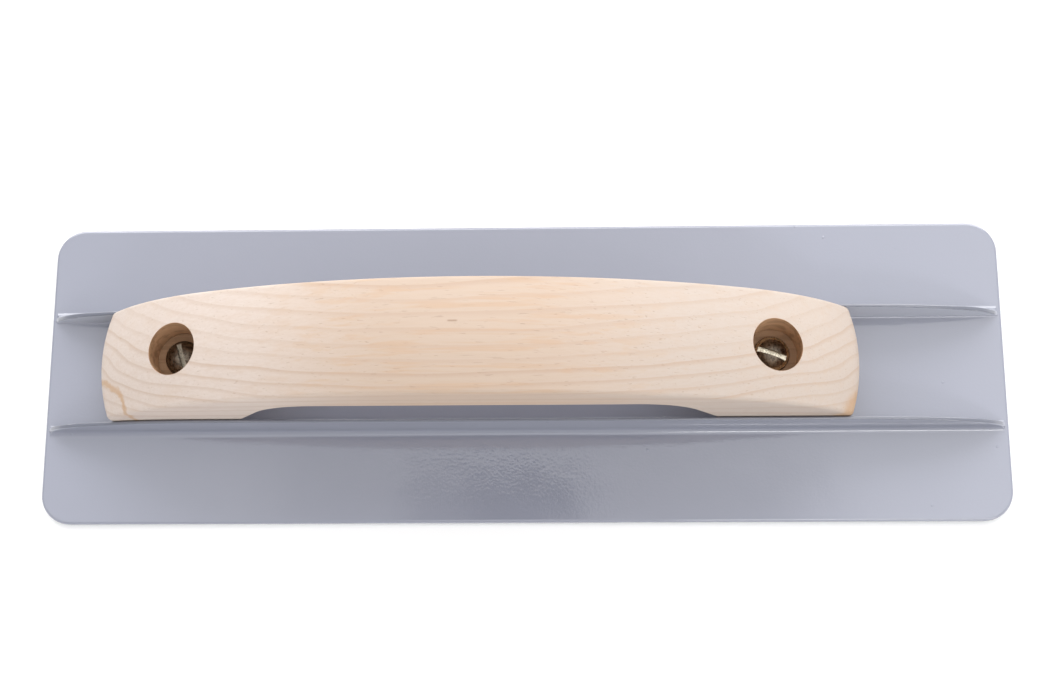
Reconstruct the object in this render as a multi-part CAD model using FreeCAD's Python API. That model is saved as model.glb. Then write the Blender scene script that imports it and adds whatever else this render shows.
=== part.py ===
import FreeCAD, Part
import math
import os

# Hand float with a ribbed metal blade and an arched wooden handle, in millimetres.
# Frame: +X along the blade, +Z up, origin at the middle of the blade's working face.
# The working face lies on z = 0. All but the screws' slots is symmetric about the XZ plane.

V = FreeCAD.Vector

# Blade: a 12 in by 3-3/4 in class plate with two ribs that hold the handle between them
BLADE_LENGTH = 304.8
BLADE_WIDTH = 96.0
PLATE_THICK = 3.0
CORNER_R = 9.5
TOP_EDGE_R = 1.0
WORKING_EDGE_R = 0.5

# Ribs along the whole blade. They taper from root to crest on their outer side only. From
# RIB_RAMP_X outwards the crest falls in a wide arc, and from RIB_TIP_X in a tighter one.
RIB_INNER_Y = 17.1
RIB_ROOT_THICK = 1.7
RIB_CREST_THICK = 1.0
RIB_CREST_R = 0.45
RIB_CREST_Z = 16.6
RIB_RAMP_X = 104.0
RIB_RAMP_R = 115.0
RIB_TIP_X = 140.0
RIB_TIP_R = 24.0
RIB_SUNK = 1.0
RIB_OUTER_FILLET_R = 2.0
RIB_INNER_FILLET_R = 0.6

# Handle: length and width are those of its side faces, before the top's crown is added.
# Its outer edge seen from the side is a wide arc, a tighter one, a small one and a straight
# end. All of them meet in a tangent.
HANDLE_CENTRE_X = -13.6
HANDLE_LENGTH = 229.5
HANDLE_WIDTH = 33.8
HANDLE_EDGE_Z = 59.4
BACK_R = 210.0
BACK_HALF = 80.5
SHOULDER_R = 84.0
END_R = 6.0
CROWN = 2.8
CROWN_EDGE_R = 1.5
CROWN_DEPTH = 4.0
CORE_INSET = 2.5

# The arch that the fingers go through, under the grip. Its sides lean inwards from the feet.
ARCH_FOOT_HALF = 79.8
ARCH_LEAN_DEG = 30.0
ARCH_TOP_Z = 37.6
ARCH_CORNER_R = 20.0
GRIP_EDGE_R = 1.2

# The feet's lower outer edges are eased, to clear the fillets at the ribs' roots
FOOT_CHAMFER = 0.8

# Screws that hold the handle down, and what they go through
SCREW_SPACING = 178.0
COUNTERBORE_D = 15.6
HEAD_SEAT_Z = 26.5
HEAD_D = 10.8
HEAD_RIM_H = 0.9
HEAD_DOME_H = 2.7
SHANK_D = 6.3
SHANK_END_Z = 3.9
SHANK_HOLE_D = 7.0
SLOT_WIDTH = 1.5
SLOT_DEPTH = 1.7
SLOT_ANGLES = (-72.0, -20.0)

# Tapped bosses that stand on the plate inside a pocket under each foot
BOSS_D = 14.0
BOSS_TOP_Z = 11.0
TAP_D = 6.35
TAP_FLOOR_Z = 3.2
POCKET_D = 14.6
POCKET_TOP_Z = 11.4

RIB_OUTER_Y = RIB_INNER_Y + RIB_ROOT_THICK
RIB_FOOT_Z = PLATE_THICK - RIB_SUNK
RIB_LEAN = (RIB_ROOT_THICK - RIB_CREST_THICK) / (RIB_CREST_Z - PLATE_THICK)
HANDLE_HALF_W = HANDLE_WIDTH / 2
SCREW_X = [HANDLE_CENTRE_X + side * SCREW_SPACING / 2 for side in (-1, 1)]


def cylinder(diameter, z_low, z_high, x):
    """A vertical cylinder on the XZ plane of symmetry."""
    return Part.makeCylinder(diameter / 2, z_high - z_low, V(x, 0, z_low))


def face_of(edges):
    return Part.Face(Part.Wire(edges))


def line(start, end):
    return Part.LineSegment(start, end).toShape()


def arc(start, middle, end):
    return Part.Arc(start, middle, end).toShape()


def arc_about(centre, radius, angle_from, angle_to):
    """An arc in the XZ plane. Angles are in radians from straight up, towards +X."""
    def point(angle):
        return V(centre.x + radius * math.sin(angle), 0, centre.z + radius * math.cos(angle))
    return arc(point(angle_from), point((angle_from + angle_to) / 2), point(angle_to))


# ---- blade ----

def plate():
    """The flat plate with rounded corners and softened edges."""
    blank = Part.makeBox(BLADE_LENGTH, BLADE_WIDTH, PLATE_THICK,
                         V(-BLADE_LENGTH / 2, -BLADE_WIDTH / 2, 0))
    corners = [e for e in blank.Edges if abs(e.BoundBox.ZLength - PLATE_THICK) < 1e-6]
    blank = blank.makeFillet(CORNER_R, corners)
    top = [e for e in blank.Edges if e.BoundBox.ZMin > PLATE_THICK - 1e-6]
    blank = blank.makeFillet(TOP_EDGE_R, top)
    low = [e for e in blank.Edges if e.BoundBox.ZMax < 1e-6]
    return blank.makeFillet(WORKING_EDGE_R, low)


def rib_outline():
    """A rib seen from the side, as a face. Its foot is sunk into the plate."""
    turn_ramp = math.asin((RIB_TIP_X - RIB_RAMP_X) / RIB_RAMP_R)
    ramp_centre = V(RIB_RAMP_X, 0, RIB_CREST_Z - RIB_RAMP_R)
    gap = RIB_RAMP_R - RIB_TIP_R
    tip_centre = V(RIB_RAMP_X + gap * math.sin(turn_ramp), 0,
                   ramp_centre.z + gap * math.cos(turn_ramp))
    turn_tip = math.acos((RIB_FOOT_Z - tip_centre.z) / RIB_TIP_R)
    foot_x = tip_centre.x + RIB_TIP_R * math.sin(turn_tip)

    def mirrored(point):
        return V(-point.x, 0, point.z)
    return face_of([
        arc_about(mirrored(tip_centre), RIB_TIP_R, -turn_tip, -turn_ramp),
        arc_about(mirrored(ramp_centre), RIB_RAMP_R, -turn_ramp, 0),
        line(V(-RIB_RAMP_X, 0, RIB_CREST_Z), V(RIB_RAMP_X, 0, RIB_CREST_Z)),
        arc_about(ramp_centre, RIB_RAMP_R, 0, turn_ramp),
        arc_about(tip_centre, RIB_TIP_R, turn_ramp, turn_tip),
        line(V(foot_x, 0, RIB_FOOT_Z), V(-foot_x, 0, RIB_FOOT_Z)),
    ])


def along_blade(points):
    """A prism along the whole blade, from its cross-section's corners as (y, z) pairs."""
    corners = [V(-BLADE_LENGTH / 2, y, z) for y, z in points]
    return Part.Face(Part.makePolygon(corners + corners[:1])).extrude(V(BLADE_LENGTH, 0, 0))


def rib():
    """The rib on the +Y side, with a round crest and no fillets at its root yet."""
    outer_foot_y = RIB_OUTER_Y + RIB_LEAN * RIB_SUNK
    blank = rib_outline().extrude(V(0, 2 * RIB_OUTER_Y, 0))
    wall = blank.common(along_blade([
        (RIB_INNER_Y, RIB_FOOT_Z), (outer_foot_y, RIB_FOOT_Z),
        (RIB_INNER_Y + RIB_CREST_THICK, RIB_CREST_Z), (RIB_INNER_Y, RIB_CREST_Z),
    ]))

    def on_crest(edge):
        long_way = edge.BoundBox.XLength > 2 * RIB_ROOT_THICK
        return long_way and edge.BoundBox.ZMax > PLATE_THICK
    return wall.makeFillet(RIB_CREST_R, [e for e in wall.Edges if on_crest(e)])


def rib_root():
    """The fillets along the foot of the rib on the +Y side, as a strip of their own."""
    half = BLADE_LENGTH / 2
    inner, outer = RIB_INNER_Y, RIB_OUTER_Y
    r_in, r_out = RIB_INNER_FILLET_R, RIB_OUTER_FILLET_R
    mid = math.sqrt(0.5)
    top = PLATE_THICK
    high_y = outer - RIB_LEAN * r_out

    def point(y, z):
        return V(-half, y, z)
    outline = face_of([
        line(point(inner - r_in, RIB_FOOT_Z), point(inner - r_in, top)),
        arc(point(inner - r_in, top),
            point(inner - r_in + r_in * mid, top + r_in - r_in * mid),
            point(inner, top + r_in)),
        line(point(inner, top + r_in), point(high_y, top + r_out)),
        arc(point(high_y, top + r_out),
            point(high_y + r_out - r_out * mid, top + r_out - r_out * mid),
            point(high_y + r_out, top)),
        line(point(high_y + r_out, top), point(high_y + r_out, RIB_FOOT_Z)),
        line(point(high_y + r_out, RIB_FOOT_Z), point(inner - r_in, RIB_FOOT_Z)),
    ])
    return outline.extrude(V(BLADE_LENGTH, 0, 0))


def blade():
    """Plate, ribs and tapped bosses, made in one piece."""
    body = plate()
    run_out = rib_outline().extrude(V(0, 2 * RIB_OUTER_Y, 0))
    run_out.translate(V(0, 0, -RIB_CREST_R))
    side_rib = rib().fuse(rib_root().common(run_out))
    body = body.fuse(side_rib)
    body = body.fuse(side_rib.mirror(V(0, 0, 0), V(0, 1, 0)))
    for x in SCREW_X:
        body = body.fuse(cylinder(BOSS_D, PLATE_THICK / 2, BOSS_TOP_Z, x))
    for x in SCREW_X:
        body = body.cut(cylinder(TAP_D, TAP_FLOOR_Z, BOSS_TOP_Z + 1, x))
    return body.removeSplitter()


# ---- handle ----

def back_arcs(inset):
    """The handle's upper outline from foot to foot, moved inwards by inset."""
    turn_back = math.asin(BACK_HALF / BACK_R)
    end_reach = HANDLE_LENGTH / 2 - END_R
    sin_shoulder = (end_reach - BACK_HALF + SHOULDER_R * BACK_HALF / BACK_R) / (SHOULDER_R - END_R)
    turn_shoulder = math.asin(sin_shoulder)
    centre_back = V(0, 0, HANDLE_EDGE_Z - BACK_R)
    gap_back = BACK_R - SHOULDER_R
    centre_shoulder = V(gap_back * math.sin(turn_back), 0,
                        centre_back.z + gap_back * math.cos(turn_back))
    gap_end = SHOULDER_R - END_R
    centre_end = V(centre_shoulder.x + gap_end * math.sin(turn_shoulder), 0,
                   centre_shoulder.z + gap_end * math.cos(turn_shoulder))
    half = centre_end.x + END_R - inset
    quarter = math.pi / 2

    def mirrored(point):
        return V(-point.x, 0, point.z)
    edges = [
        line(V(-half, 0, PLATE_THICK), V(-half, 0, centre_end.z)),
        arc_about(mirrored(centre_end), END_R - inset, -quarter, -turn_shoulder),
        arc_about(mirrored(centre_shoulder), SHOULDER_R - inset, -turn_shoulder, -turn_back),
        arc_about(centre_back, BACK_R - inset, -turn_back, turn_back),
        arc_about(centre_shoulder, SHOULDER_R - inset, turn_back, turn_shoulder),
        arc_about(centre_end, END_R - inset, turn_shoulder, quarter),
        line(V(half, 0, centre_end.z), V(half, 0, PLATE_THICK)),
    ]
    return edges, half


def arch_edges():
    """The arch's outline, from the right foot to the left one."""
    lean = math.radians(ARCH_LEAN_DEG)
    turn = math.pi / 2 - lean
    top_half = ARCH_FOOT_HALF - (ARCH_TOP_Z - PLATE_THICK) * math.tan(lean)
    flat = top_half - ARCH_CORNER_R * math.tan(turn / 2)
    centre_z = ARCH_TOP_Z - ARCH_CORNER_R
    side_x = flat + ARCH_CORNER_R * math.sin(turn)
    side_z = centre_z + ARCH_CORNER_R * math.cos(turn)
    return [
        line(V(ARCH_FOOT_HALF, 0, PLATE_THICK), V(side_x, 0, side_z)),
        arc_about(V(flat, 0, centre_z), ARCH_CORNER_R, turn, 0),
        line(V(flat, 0, ARCH_TOP_Z), V(-flat, 0, ARCH_TOP_Z)),
        arc_about(V(-flat, 0, centre_z), ARCH_CORNER_R, 0, -turn),
        line(V(-side_x, 0, side_z), V(-ARCH_FOOT_HALF, 0, PLATE_THICK)),
    ]


def handle_core():
    """The arched board, up to a little below its crowned back, with eased grip edges."""
    outer, half = back_arcs(CORE_INSET)
    right_foot = [line(V(half, 0, PLATE_THICK), V(ARCH_FOOT_HALF, 0, PLATE_THICK))]
    left_foot = [line(V(-ARCH_FOOT_HALF, 0, PLATE_THICK), V(-half, 0, PLATE_THICK))]
    profile = face_of(outer + right_foot + arch_edges() + left_foot)
    profile.translate(V(0, -HANDLE_HALF_W, 0))
    core = profile.extrude(V(0, HANDLE_WIDTH, 0))

    def on_arch(edge):
        box = edge.BoundBox
        inside = box.XMax < ARCH_FOOT_HALF + 1e-3 and box.XMin > -ARCH_FOOT_HALF - 1e-3
        along_side = box.YLength < 1e-3
        return inside and along_side and box.ZMax < ARCH_TOP_Z + 1e-3
    return core.makeFillet(GRIP_EDGE_R, [e for e in core.Edges if on_arch(e)])


def crown_section(half_length):
    """The back's cross-section at the left foot, where the outline starts straight up."""
    half_w = HANDLE_HALF_W
    crown_r = (half_w ** 2 + CROWN ** 2) / (2 * CROWN)
    crown_centre = CROWN - crown_r
    edge_y = half_w - CROWN_EDGE_R
    edge_n = crown_centre + math.sqrt((crown_r - CROWN_EDGE_R) ** 2 - edge_y ** 2)
    lean = math.atan2(edge_y, edge_n - crown_centre)
    join_y = crown_r * math.sin(lean)
    join_n = crown_centre + crown_r * math.cos(lean)
    mean = (lean + math.pi / 2) / 2
    bend_y = edge_y + CROWN_EDGE_R * math.sin(mean)
    bend_n = edge_n + CROWN_EDGE_R * math.cos(mean)

    def point(out, y):
        return V(-half_length - out, y, PLATE_THICK)
    return Part.Wire([
        line(point(-CROWN_DEPTH, -half_w), point(edge_n, -half_w)),
        arc(point(edge_n, -half_w), point(bend_n, -bend_y), point(join_n, -join_y)),
        arc(point(join_n, -join_y), point(CROWN, 0), point(join_n, join_y)),
        arc(point(join_n, join_y), point(bend_n, bend_y), point(edge_n, half_w)),
        line(point(edge_n, half_w), point(-CROWN_DEPTH, half_w)),
        line(point(-CROWN_DEPTH, half_w), point(-CROWN_DEPTH, -half_w)),
    ])


def handle_back():
    """The crowned skin, its cross-section carried square to the outline all the way."""
    edges, half = back_arcs(0)
    sweep = Part.BRepOffsetAPI.MakePipeShell(Part.Wire(edges))
    sweep.setBiNormalMode(V(0, 1, 0))
    sweep.add(crown_section(half), False, False)
    sweep.build()
    sweep.makeSolid()
    return sweep.shape()


def handle():
    body = handle_core().fuse(handle_back()).removeSplitter()

    def foot_edge(edge):
        lies_flat = edge.BoundBox.ZMax < PLATE_THICK + 1e-3
        return lies_flat and abs(edge.CenterOfMass.x) > ARCH_FOOT_HALF + GRIP_EDGE_R
    body = body.makeChamfer(FOOT_CHAMFER, [e for e in body.Edges if foot_edge(e)])
    body.translate(V(HANDLE_CENTRE_X, 0, 0))
    above = HANDLE_EDGE_Z + CROWN + 1
    for x in SCREW_X:
        body = body.cut(cylinder(COUNTERBORE_D, HEAD_SEAT_Z, above, x))
        body = body.cut(cylinder(SHANK_HOLE_D, PLATE_THICK - 1, HEAD_SEAT_Z + 1, x))
        body = body.cut(cylinder(POCKET_D, PLATE_THICK - 1, POCKET_TOP_Z, x))
    return body


# ---- screws ----

def screw(x, slot_angle):
    """A round-head slotted screw, standing in its counterbore."""
    rim_z = HEAD_SEAT_Z + HEAD_RIM_H
    dome_r = ((HEAD_D / 2) ** 2 + HEAD_DOME_H ** 2) / (2 * HEAD_DOME_H)
    ball = Part.makeSphere(dome_r, V(x, 0, rim_z + HEAD_DOME_H - dome_r))
    head = ball.common(cylinder(HEAD_D, HEAD_SEAT_Z, rim_z + HEAD_DOME_H, x))
    head = head.fuse(cylinder(HEAD_D, HEAD_SEAT_Z, rim_z, x))
    shank = cylinder(SHANK_D, SHANK_END_Z, HEAD_SEAT_Z + HEAD_RIM_H / 2, x)
    slot = Part.makeBox(2 * HEAD_D, SLOT_WIDTH, 2 * SLOT_DEPTH, V(-HEAD_D, -SLOT_WIDTH / 2, 0))
    slot.rotate(V(0, 0, 0), V(0, 0, 1), slot_angle)
    slot.translate(V(x, 0, rim_z + HEAD_DOME_H - SLOT_DEPTH))
    return head.fuse(shank).cut(slot).removeSplitter()


def handle_screws():
    return Part.makeCompound([screw(x, angle) for x, angle in zip(SCREW_X, SLOT_ANGLES)])


os.makedirs("parts", exist_ok=True)
NODES = {"float_blade": blade(), "handle": handle(), "handle_screws": handle_screws()}
for name, shape in NODES.items():
    shape.exportStep(f"parts/{name}.step")
    box = shape.BoundBox
    print(f"{name}: solids {len(shape.Solids)}, valid {shape.isValid()}, volume {shape.Volume:.0f}, "
          f"x {box.XMin:.2f}..{box.XMax:.2f}, y {box.YMin:.2f}..{box.YMax:.2f}, "
          f"z {box.ZMin:.2f}..{box.ZMax:.2f}")
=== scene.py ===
import math

import bmesh
import bpy
from mathutils import Matrix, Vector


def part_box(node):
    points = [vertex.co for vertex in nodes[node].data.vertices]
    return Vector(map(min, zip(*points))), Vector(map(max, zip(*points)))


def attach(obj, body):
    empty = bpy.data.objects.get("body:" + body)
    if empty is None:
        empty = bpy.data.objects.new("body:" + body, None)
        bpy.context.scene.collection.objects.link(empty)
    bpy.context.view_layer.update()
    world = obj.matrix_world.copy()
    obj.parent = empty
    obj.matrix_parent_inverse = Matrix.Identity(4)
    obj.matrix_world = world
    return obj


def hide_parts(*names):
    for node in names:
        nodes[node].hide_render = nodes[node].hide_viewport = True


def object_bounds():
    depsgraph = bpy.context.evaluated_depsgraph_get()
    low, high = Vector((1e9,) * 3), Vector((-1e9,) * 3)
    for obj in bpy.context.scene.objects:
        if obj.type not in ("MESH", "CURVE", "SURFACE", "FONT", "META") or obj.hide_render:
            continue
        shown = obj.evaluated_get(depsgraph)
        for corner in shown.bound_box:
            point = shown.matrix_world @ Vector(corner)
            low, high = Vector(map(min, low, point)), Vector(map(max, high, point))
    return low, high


# Looks of the hand float: painted ribbed blade, arched wooden handle and its two screws.
# Everything is in metres, in the frame of the CAD model: +X along the blade, +Z up.

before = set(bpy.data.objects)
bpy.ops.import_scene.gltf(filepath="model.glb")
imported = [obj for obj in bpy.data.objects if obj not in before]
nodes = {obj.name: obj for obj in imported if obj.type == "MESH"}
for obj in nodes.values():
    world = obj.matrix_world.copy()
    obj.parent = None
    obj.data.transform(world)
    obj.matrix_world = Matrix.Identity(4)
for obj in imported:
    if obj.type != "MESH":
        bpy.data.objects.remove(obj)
cad_low, cad_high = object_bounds()

MM = 0.001


# ---- node helpers ----

class Nodes:
    """A node tree, with short calls for the nodes that the looks and the light below need."""

    def __init__(self, tree):
        self.tree = tree
        self.tree.nodes.clear()

    def put(self, socket, value):
        """Sets a socket from a number, a colour or another node's output."""
        if isinstance(value, bpy.types.NodeSocket):
            self.tree.links.new(value, socket)
        else:
            socket.default_value = value

    def position(self, scale=(1.0, 1.0, 1.0), shift=(0.0, 0.0, 0.0)):
        """The point in millimetres, stretched and shifted."""
        coordinates = self.tree.nodes.new("ShaderNodeTexCoord")
        mapping = self.tree.nodes.new("ShaderNodeMapping")
        mapping.inputs["Scale"].default_value = [s / MM for s in scale]
        mapping.inputs["Location"].default_value = shift
        self.tree.links.new(coordinates.outputs["Object"], mapping.inputs["Vector"])
        return mapping.outputs["Vector"]

    def noise(self, vector, scale, detail=2.0, roughness=0.5):
        node = self.tree.nodes.new("ShaderNodeTexNoise")
        self.put(node.inputs["Vector"], vector)
        node.inputs["Scale"].default_value = scale
        node.inputs["Detail"].default_value = detail
        node.inputs["Roughness"].default_value = roughness
        return node.outputs["Fac"]

    def cells(self, vector, scale):
        node = self.tree.nodes.new("ShaderNodeTexVoronoi")
        self.put(node.inputs["Vector"], vector)
        node.inputs["Scale"].default_value = scale
        return node.outputs["Distance"]

    def math(self, operation, first, second=0.0, third=0.0):
        node = self.tree.nodes.new("ShaderNodeMath")
        node.operation = operation
        self.put(node.inputs[0], first)
        self.put(node.inputs[1], second)
        self.put(node.inputs[2], third)
        return node.outputs[0]

    def ramp(self, value, low, high, out_low=0.0, out_high=1.0):
        """Maps low..high to out_low..out_high along an S-curve, clamped at both ends."""
        node = self.tree.nodes.new("ShaderNodeMapRange")
        node.interpolation_type = "SMOOTHSTEP"
        self.put(node.inputs["Value"], value)
        self.put(node.inputs["From Min"], low)
        self.put(node.inputs["From Max"], high)
        self.put(node.inputs["To Min"], out_low)
        self.put(node.inputs["To Max"], out_high)
        return node.outputs["Result"]

    def between(self, value, rise, full, still_full, gone):
        """1 from full to still_full, fading to 0 at rise and at gone."""
        return self.math("MULTIPLY", self.ramp(value, rise, full), self.ramp(value, gone, still_full))

    def mix(self, factor, first, second):
        """Blends two colours."""
        node = self.tree.nodes.new("ShaderNodeMix")
        node.data_type = "RGBA"
        self.put(node.inputs["Factor"], factor)
        for name, colour in (("A", first), ("B", second)):
            is_socket = isinstance(colour, bpy.types.NodeSocket)
            self.put(node.inputs[name], colour if is_socket else (*colour, 1.0))
        return node.outputs["Result"]

    def split(self, vector):
        node = self.tree.nodes.new("ShaderNodeSeparateXYZ")
        self.put(node.inputs[0], vector)
        return node.outputs["X"], node.outputs["Y"], node.outputs["Z"]

    def bump(self, height, distance, strength=1.0, normal=None):
        node = self.tree.nodes.new("ShaderNodeBump")
        node.inputs["Distance"].default_value = distance
        node.inputs["Strength"].default_value = strength
        self.put(node.inputs["Height"], height)
        if normal is not None:
            self.put(node.inputs["Normal"], normal)
        return node.outputs["Normal"]


class Shader(Nodes):
    """A material with one surface shader."""

    def __init__(self, name):
        self.material = bpy.data.materials.new(name)
        self.material.use_nodes = True
        super().__init__(self.material.node_tree)
        output = self.tree.nodes.new("ShaderNodeOutputMaterial")
        self.surface = self.tree.nodes.new("ShaderNodeBsdfPrincipled")
        self.tree.links.new(self.surface.outputs["BSDF"], output.inputs["Surface"])

    def set(self, **values):
        """Sets sockets of the surface shader, named with _ for a space."""
        for name, value in values.items():
            socket = self.surface.inputs[name.replace("_", " ")]
            if isinstance(value, tuple) and len(value) == 3:
                value = (*value, 1.0)
            self.put(socket, value)


# ---- materials, with lengths in millimetres unless they say MM ----

PAINT_LOW = (0.222, 0.233, 0.290)
PAINT_HIGH = (0.236, 0.247, 0.306)
# Painted light on the back rib's face towards the handle:
RIB_FACE_PAINTED_LIGHT = (0.440, 0.455, 0.520)
# Painted shade on the upward-facing tops of both crests:
CREST_PAINTED_SHADE = (0.120, 0.128, 0.165)
PEEL_DEPTH = 0.015 * MM
PLATE_TOP_Z = 3.0
RIB_FACE = (16.3, 16.6, 17.2, 17.5)
RIB_CREST = (17.0, 17.1, 18.2, 18.4)

WOOD_LEFT = (0.550, 0.470, 0.420)
WOOD_RIGHT = (0.470, 0.400, 0.350)
WOOD_MIDDLE = (0.475, 0.370, 0.295)
WOOD_LATE = (0.390, 0.262, 0.180)
WOOD_ORANGE = (0.470, 0.310, 0.195)
WOOD_FIBRE = (0.440, 0.325, 0.245)
WOOD_PORE = (0.300, 0.205, 0.140)
WOOD_HEART = (0.430, 0.255, 0.125)
BORE_BROWN = (0.440, 0.270, 0.155)
# Painted light: the counterbore walls are paler towards the floor:
BORE_PAINTED_LIGHT = (0.560, 0.360, 0.215)
BORE_FLOOR = (0.430, 0.272, 0.160)
BORE_GRAIN = (0.280, 0.170, 0.095)
LAYER_STEP = 3.7
LAYER_SLANT = (0.89, 0.45)
LAYER_SWAY = 9.0
GRAIN_MIDDLE_X = -15.0
HEART_BAND_R = 13.5
FLECK_PLACE = (-18.2, 3.2)
BORE_FLOOR_Z = 26.5
BORE_BROWN_Z = 46.0

STEEL_DARK = (0.115, 0.096, 0.077)
STEEL_LIGHT = (0.260, 0.220, 0.175)
# Painted shade at the rim of the screw heads:
STEEL_RIM_PAINTED_SHADE = (0.050, 0.040, 0.030)
STEEL_BRIGHT = (0.780, 0.720, 0.580)

handle_low, handle_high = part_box("handle")

# The screw heads are the widest part of the screw node, so the screws' axes are one head
# radius in from its ends. The counterbore is wider than the head.
screw_low, screw_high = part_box("handle_screws")
HEAD_R = (screw_high.y - screw_low.y) / 2
SCREW_X = (screw_low.x + HEAD_R, screw_high.x - HEAD_R)
BORE_R = 7.8 * MM


def paint_material():
    """Glossy grey paint with orange peel, a few nibs and slow waves, and painted light and shade on
    the ribs.
    """
    s = Shader("blade_paint")
    point = s.position()
    peel = s.noise(point, 1.25, detail=1.0, roughness=0.4)
    waves = s.noise(point, 0.07, detail=1.0)
    tint = s.noise(point, 0.02, detail=3.0, roughness=0.6)
    colour = s.mix(tint, PAINT_LOW, PAINT_HIGH)
    rib_face_light, crest_shade = painted_light_and_shade_masks(s, point)
    # Painted light: a paler tint on the back rib's face towards the handle.
    colour = s.mix(rib_face_light, colour, RIB_FACE_PAINTED_LIGHT)
    # Painted shade: a darker tint on the tops of both crests, which damps their highlight.
    colour = s.mix(crest_shade, colour, CREST_PAINTED_SHADE)
    nib = s.ramp(s.cells(point, 0.09), 0.05, 0.02)
    normal = s.bump(waves, 1.0 * MM, 0.06)
    normal = s.bump(peel, PEEL_DEPTH, 1.0, normal)
    normal = s.bump(nib, 0.15 * MM, 0.6, normal)
    s.set(Base_Color=colour, Roughness=0.4, Specular_IOR_Level=0.25, Coat_Weight=1.0,
          Coat_Roughness=0.02, Coat_IOR=1.8, Normal=normal, Coat_Normal=normal)
    return s.material


def painted_light_and_shade_masks(s, point):
    """Masks for painted light, a paler tint on the back rib's face towards the handle, and for
    painted shade, a darker tint on the upward-facing tops of both crests.
    """
    _, y, z = s.split(point)
    geometry = s.tree.nodes.new("ShaderNodeNewGeometry")
    _, _, facing_up = s.split(geometry.outputs["Normal"])
    # Painted light on the back rib's face towards the handle.
    rib_face_light = s.between(y, *RIB_FACE)
    rib_face_light = s.math("MULTIPLY", rib_face_light, s.ramp(z, PLATE_TOP_Z + 0.1, PLATE_TOP_Z + 0.5))
    # Painted shade on the upward-facing tops of both crests.
    crest_shade = s.between(s.math("ABSOLUTE", y), *RIB_CREST)
    crest_shade = s.math("MULTIPLY", crest_shade, s.ramp(z, PLATE_TOP_Z + 0.6, PLATE_TOP_Z + 2.0))
    return rib_face_light, s.math("MULTIPLY", crest_shade, s.ramp(facing_up, 0.15, 0.35))


def wood_material():
    """Pale, bare sanded wood: growth layers cut at a slant, fibres along X, small pores."""
    s = Shader("handle_wood")
    point = s.position()
    x, y, z = s.split(point)
    sway = s.noise(s.position(scale=(0.25, 1.0, 1.0)), 0.035, detail=2.0)
    across = s.math("MULTIPLY_ADD", y, LAYER_SLANT[0], s.math("MULTIPLY", z, LAYER_SLANT[1]))
    across = s.math("MULTIPLY_ADD", sway, LAYER_SWAY, across)
    phase = s.math("DIVIDE", across, LAYER_STEP)
    ring = s.math("FRACT", phase)
    late = s.math("MULTIPLY", s.ramp(ring, 0.55, 0.93), s.ramp(ring, 1.0, 0.95))
    ring_index = s.math("FLOOR", phase)
    strength = s.noise(s.math("MULTIPLY", ring_index, 7.31), 1.0, detail=0.0)
    late = s.math("MULTIPLY", late, s.ramp(strength, 0.35, 0.65, 0.45, 1.0))
    fibre = s.noise(s.position(scale=(0.03, 1.0, 1.0)), 1.6, detail=4.0, roughness=0.7)
    pores = s.noise(s.position(scale=(0.10, 1.0, 1.0)), 2.4, detail=1.0)
    pore = s.ramp(pores, 0.66, 0.74)
    from_middle = s.math("ABSOLUTE", s.math("SUBTRACT", x, GRAIN_MIDDLE_X))
    middle = s.ramp(from_middle, 72.0, 18.0)
    ends = s.mix(s.ramp(x, -100.0, 60.0), WOOD_LEFT, WOOD_RIGHT)
    colour = s.mix(middle, ends, WOOD_MIDDLE)
    colour = s.mix(s.math("MULTIPLY", late, 0.44), colour, WOOD_LATE)
    streaks = s.noise(s.position(scale=(0.05, 1.0, 1.0)), 0.45, detail=3.0, roughness=0.6)
    streak = s.math("MULTIPLY", s.ramp(streaks, 0.48, 0.66), s.ramp(middle, 0.0, 1.0, 0.12, 0.5))
    colour = s.mix(streak, colour, WOOD_ORANGE)
    colour = s.mix(s.ramp(fibre, 0.35, 0.7, 0.0, 0.25), colour, WOOD_FIBRE)
    colour = s.mix(s.math("MULTIPLY", pore, 0.30), colour, WOOD_PORE)
    ragged = s.noise(s.position(scale=(0.4, 1.0, 1.0)), 0.14, detail=4.0, roughness=0.6)
    colour = s.mix(heartwood_mask(s, x, y, z, ragged), colour, WOOD_HEART)
    colour = s.mix(fleck_mask(s, x, y), colour, WOOD_PORE)
    # Painted light: the counterbore walls are paler near the floor than near the top; the floor
    # itself is a darker brown.
    bore = s.mix(s.ramp(z, BORE_FLOOR_Z + 0.5, BORE_BROWN_Z), BORE_PAINTED_LIGHT, BORE_BROWN)
    bore = s.mix(s.ramp(z, BORE_FLOOR_Z + 0.4, BORE_FLOOR_Z + 0.1), bore, BORE_FLOOR)
    bore_grain = s.noise(s.position(scale=(0.06, 1.0, 0.6)), 0.7, detail=3.0)
    bore = s.mix(s.ramp(bore_grain, 0.45, 0.62, 0.0, 0.55), bore, BORE_GRAIN)
    colour = s.mix(bore_mask(s, x, y), colour, bore)
    normal = s.bump(fibre, 0.05 * MM, 0.5)
    normal = s.bump(pore, -0.08 * MM, 0.6, normal)
    s.set(Base_Color=colour, Roughness=0.6, Normal=normal)
    return s.material


def distance(s, x, y, centre_x, centre_y):
    """How far a point is from an upright axis."""
    dx = s.math("SUBTRACT", x, centre_x)
    dy = s.math("SUBTRACT", y, centre_y)
    return s.math("SQRT", s.math("ADD", s.math("MULTIPLY", dx, dx), s.math("MULTIPLY", dy, dy)))


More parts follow.
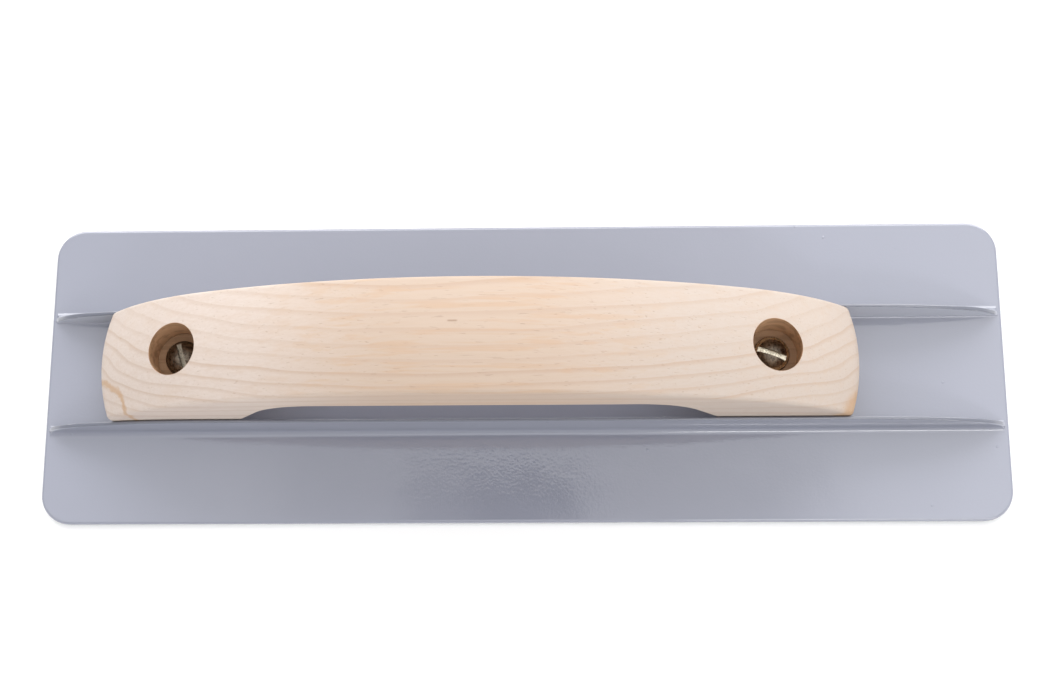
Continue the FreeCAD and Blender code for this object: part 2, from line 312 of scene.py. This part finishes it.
def heartwood_mask(s, x, y, z, unevenness):
    """Orange wood at the front corners: a curved band at the left, a wedge at the right.

    The wedge thins out upwards.
    """
    left = distance(s, x, y, handle_low.x / MM, handle_low.y / MM)
    left = s.math("MULTIPLY_ADD", unevenness, 5.0, left)
    band = s.ramp(s.math("ABSOLUTE", s.math("SUBTRACT", left, HEART_BAND_R)), 1.3, 0.2, 0.0, 0.70)
    right = distance(s, x, y, handle_high.x / MM, handle_low.y / MM)
    right = s.math("ADD", right, s.ramp(z, 10.0, 34.0, -1.0, 2.5))
    wedge = s.ramp(s.math("MULTIPLY_ADD", unevenness, 7.0, right), 13.0, 8.0, 0.0, 0.70)
    return s.math("MAXIMUM", band, wedge)


def fleck_mask(s, x, y):
    """One short dark bark fleck on the top, left of the middle."""
    dx = s.math("ABSOLUTE", s.math("SUBTRACT", x, FLECK_PLACE[0]))
    dy = s.math("ABSOLUTE", s.math("SUBTRACT", y, FLECK_PLACE[1]))
    return s.math("MULTIPLY", s.ramp(dx, 1.7, 0.9), s.ramp(dy, 0.35, 0.15, 0.0, 0.8))


def from_screw_axis(s, x, y):
    """How far a point is from the nearer screw's axis."""
    left, right = (distance(s, x, y, centre / MM, 0.0) for centre in SCREW_X)
    return s.math("MINIMUM", left, right)


def bore_mask(s, x, y):
    """1 on the walls and floor of the two counterbores, which are browner than the outside."""
    return s.ramp(from_screw_axis(s, x, y), BORE_R / MM + 0.06, BORE_R / MM + 0.02)


def screw_material():
    """Dark bronze finish with turning marks, painted shade darkening the head towards its rim, and a
    bright slot floor, brighter at the right.
    """
    s = Shader("screw_steel")
    point = s.position()
    x, y, z = s.split(point)
    away = from_screw_axis(s, x, y)
    blotch = s.noise(point, 0.9, detail=4.0)
    colour = s.mix(s.ramp(blotch, 0.35, 0.65), STEEL_DARK, STEEL_LIGHT)
    # Painted shade: the head darkens towards its rim.
    colour = s.mix(s.ramp(away, 4.3, 5.0), colour, STEEL_RIM_PAINTED_SHADE)
    worn = s.noise(s.position(shift=(5.0, 0.0, 0.0)), 1.8, detail=3.0)
    slot_floor = s.ramp(z, SLOT_FLOOR_Z / MM + 0.12, SLOT_FLOOR_Z / MM + 0.02)
    slot_floor = s.math("MULTIPLY", slot_floor, s.ramp(z, SEAT_Z / MM + 1.0, SEAT_Z / MM + 1.1))
    bright = s.math("MULTIPLY", slot_floor, s.ramp(worn, 0.35, 0.5, 0.35, 1.0))
    bright = s.math("MULTIPLY", bright, s.ramp(x, -50.0, 50.0, 0.2, 1.0))
    colour = s.mix(bright, colour, STEEL_BRIGHT)
    rings = s.math("SINE", s.math("MULTIPLY", away, 21.0))
    normal = s.bump(rings, 0.02 * MM, 0.5)
    normal = s.bump(blotch, 0.12 * MM, 0.6, normal)
    s.set(Base_Color=colour, Metallic=1.0, Roughness=s.ramp(blotch, 0.3, 0.7, 0.25, 0.45),
          Normal=normal)
    return s.material


# ---- screws ----

SCREW_SIDES = 72
DOME_STEPS = 14
SEAT_Z = BORE_FLOOR_Z * MM
RIM_H = 0.9 * MM
DOME_H = 2.7 * MM
DOME_INSET = 0.05 * MM
SHANK_R = 3.15 * MM
SHANK_EASE = 0.5 * MM
RIM_EASE_LOW = 0.12 * MM
RIM_EASE_HIGH = 0.10 * MM
SLOT_W = 1.5 * MM
SLOT_DEPTH = 1.7 * MM
SLOT_TOOL_H = 4.0 * MM
SLOT_LIP_EASE = 0.10 * MM
SLOT_FLOOR_Z = SEAT_Z + RIM_H + DOME_H - SLOT_DEPTH
SLOT_ANGLES = (-72.0, -20.0)
EASED_ABOVE = math.radians(50)
SHARP_ABOVE = math.radians(40)


def turned(bm, profile, centre_x):
    """A solid of revolution about a vertical axis. The profile runs from axis to axis."""
    rows = []
    for radius, z in profile:
        if radius == 0:
            rows.append([bm.verts.new((centre_x, 0, z))])
            continue
        turns = [2 * math.pi * i / SCREW_SIDES for i in range(SCREW_SIDES)]
        rows.append([bm.verts.new((centre_x + radius * math.cos(t), radius * math.sin(t), z))
                     for t in turns])
    for low, high in zip(rows, rows[1:]):
        for i in range(SCREW_SIDES):
            j = (i + 1) % SCREW_SIDES
            corners = [low[i % len(low)], low[j % len(low)], high[j % len(high)], high[i % len(high)]]
            bm.faces.new(list(dict.fromkeys(corners)))


def screw_profile():
    """Half a section of the screw: shank with a rounded end, flat seat, rim and dome."""
    end_z = screw_low.z
    points = [(0, end_z), (SHANK_R - SHANK_EASE, end_z), (SHANK_R, end_z + SHANK_EASE)]
    points += [(SHANK_R, SEAT_Z), (HEAD_R - RIM_EASE_LOW, SEAT_Z), (HEAD_R, SEAT_Z + RIM_EASE_LOW)]
    rim_z = SEAT_Z + RIM_H
    points.append((HEAD_R, rim_z - RIM_EASE_HIGH))
    dome_r = (HEAD_R ** 2 + DOME_H ** 2) / (2 * DOME_H)
    widest = math.asin((HEAD_R - DOME_INSET) / dome_r)
    for i in range(DOME_STEPS):
        lean = widest * (1 - i / DOME_STEPS)
        points.append((dome_r * math.sin(lean), rim_z + DOME_H - dome_r * (1 - math.cos(lean))))
    points.append((0, rim_z + DOME_H))
    return points


def uncut_screws():
    """The mesh of both screws before their slots are cut."""
    bm = bmesh.new()
    for centre_x in SCREW_X:
        turned(bm, screw_profile(), centre_x)
    bmesh.ops.recalc_face_normals(bm, faces=bm.faces)
    mesh = bpy.data.meshes.new("slotted_screws")
    bm.to_mesh(mesh)
    bm.free()
    return mesh


def slot_cutter():
    """A mesh of one bar per screw, as wide as its slot and turned the same way."""
    cutter = bmesh.new()
    for centre_x, angle in zip(SCREW_X, SLOT_ANGLES):
        place = (Matrix.Translation((centre_x, 0, SLOT_FLOOR_Z + SLOT_TOOL_H / 2))
                 @ Matrix.Rotation(math.radians(angle), 4, "Z")
                 @ Matrix.Diagonal((4 * HEAD_R, SLOT_W, SLOT_TOOL_H, 1.0)))
        bmesh.ops.create_cube(cutter, size=1.0, matrix=place)
    mesh = bpy.data.meshes.new("slot_cutter")
    cutter.to_mesh(mesh)
    cutter.free()
    return mesh


def screws():
    """Both screws, each with its slot cut across the dome and eased along its lips."""
    piece = bpy.data.objects.new("slotted_screws", uncut_screws())
    tool = bpy.data.objects.new("slot_cutter", slot_cutter())
    for thing in (piece, tool):
        bpy.context.scene.collection.objects.link(thing)
    cut = piece.modifiers.new("slot", "BOOLEAN")
    cut.object = tool
    cut.solver = "EXACT"
    ease = piece.modifiers.new("ease", "BEVEL")
    ease.width = SLOT_LIP_EASE
    ease.segments = 2
    ease.limit_method = "ANGLE"
    ease.angle_limit = EASED_ABOVE
    finished = bpy.data.meshes.new_from_object(
        piece.evaluated_get(bpy.context.evaluated_depsgraph_get()))
    piece.modifiers.clear()
    piece.data = finished
    finished.shade_smooth()
    finished.set_sharp_from_angle(angle=SHARP_ABOVE)
    bpy.data.objects.remove(tool)
    finished.materials.clear()
    finished.materials.append(screw_material())
    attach(piece, "root")
    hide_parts("handle_screws")


screws()
for node, material in (("float_blade", paint_material()), ("handle", wood_material())):
    mesh = nodes[node].data
    mesh.materials.clear()
    mesh.materials.append(material)


# ---- floor, light and camera ----

FLOOR_HALF = 4.0
FLOOR_WHITE = (0.9, 0.9, 0.9)


def floor():
    """A plain white floor under the working face."""
    s = Shader("floor_white")
    s.set(Base_Color=FLOOR_WHITE, Roughness=0.7)
    mesh = bpy.data.meshes.new("floor")
    corners = [(i * FLOOR_HALF, j * FLOOR_HALF, 0) for i, j in ((-1, -1), (1, -1), (1, 1), (-1, 1))]
    mesh.from_pydata(corners, [], [(0, 1, 2, 3)])
    mesh.materials.append(s.material)
    sheet = bpy.data.objects.new("floor", mesh)
    sheet.location = (0, 0, cad_low[2])
    bpy.context.scene.collection.objects.link(sheet)


# Radiance of the white tent: its walls at the front and the back, and its top. The gains
# multiply it towards the left and towards the right.
FRONT_WALL = 0.68
BACK_WALL = 0.70
TENT_TOP = 1.46
LEFT_GAIN = 0.95
RIGHT_GAIN = 1.46

# Darker shapes in the tent's top, as rectangles in x/z and y/z of the direction:
# (x from, x to, y from, y to, edge softness, share of the light taken away). The first
# dims the top towards the front, and the other two are mirrored by the paint.
SHADES = (
    (-0.16, 0.14, -0.30, 0.10, 0.07, 0.32),
    (-0.108, 0.014, -0.05, 0.124, 0.004, 0.60),
    (-0.063, -0.004, -0.05, 0.120, 0.004, 0.97),
)

# Soft panels behind the tent's cloth, as rectangles in x and y of the unit direction:
# (x from, x to, y from, y to, edge softness, radiance added). All are above the horizon.
PANELS = (
    (-0.60, 0.60, 0.64, 0.92, 0.05, 3.80),
    (0.085, 0.60, -0.76, -0.66, 0.02, 6.50),
)


def rectangle(n, x, y, x_from, x_to, y_from, y_to, soft):
    """1 inside a rectangle in x and y, falling to 0 over the soft edge around it."""
    inside = n.math("MULTIPLY", n.ramp(x, x_from - soft, x_from), n.ramp(x, x_to + soft, x_to))
    inside = n.math("MULTIPLY", inside, n.ramp(y, y_from - soft, y_from))
    return n.math("MULTIPLY", inside, n.ramp(y, y_to + soft, y_to))


def studio():
    """Soft light from a white tent all round, as a world: the paint mirrors its soft shapes."""
    world = bpy.data.worlds.new("studio")
    world.use_nodes = True
    n = Nodes(world.node_tree)
    coordinates = n.tree.nodes.new("ShaderNodeTexCoord")
    x, y, z = n.split(coordinates.outputs["Generated"])
    up = n.math("MAXIMUM", z, 0.1)
    across = n.math("DIVIDE", x, up)
    deep = n.math("DIVIDE", y, up)
    glow = n.ramp(z, 0.70, 0.90, n.ramp(y, -0.6, 0.6, FRONT_WALL, BACK_WALL), TENT_TOP)
    glow = n.math("MULTIPLY", glow, n.ramp(across, -0.10, 0.36, LEFT_GAIN, RIGHT_GAIN))
    for *place, share in SHADES:
        shade = rectangle(n, across, deep, *place)
        glow = n.math("MULTIPLY", glow, n.math("MULTIPLY_ADD", shade, -share, 1.0))
    above = n.ramp(z, 0.0, 0.08)
    for *place, radiance in PANELS:
        panel = n.math("MULTIPLY", rectangle(n, x, y, *place), above)
        glow = n.math("MULTIPLY_ADD", panel, radiance, glow)
    background = n.tree.nodes.new("ShaderNodeBackground")
    background.inputs["Color"].default_value = (1.0, 1.0, 1.0, 1.0)
    n.put(background.inputs["Strength"], glow)
    output = n.tree.nodes.new("ShaderNodeOutputWorld")
    n.tree.links.new(background.outputs[0], output.inputs["Surface"])
    bpy.context.scene.world = world


LENS_MM = 50.0
SENSOR_MM = 36.0
CAMERA_PLACE = (0.0126, -0.0888, 0.4585)
CAMERA_YAW = math.radians(7.23)
CAMERA_DOWN = math.radians(78.03)
CAMERA_ROLL = math.radians(-7.48)


def camera():
    """The main view: from above and a little in front."""
    data = bpy.data.cameras.new("camera")
    data.lens = LENS_MM
    data.sensor_width = SENSOR_MM
    rig = bpy.data.objects.new("camera", data)
    turn = (Matrix.Rotation(CAMERA_YAW, 4, "Z") @ Matrix.Rotation(math.pi / 2 - CAMERA_DOWN, 4, "X")
            @ Matrix.Rotation(CAMERA_ROLL, 4, "Z"))
    rig.matrix_world = Matrix.Translation(CAMERA_PLACE) @ turn
    bpy.context.scene.collection.objects.link(rig)
    bpy.context.scene.camera = rig


floor()
studio()
camera()
bpy.context.scene.view_settings.view_transform = "Standard"
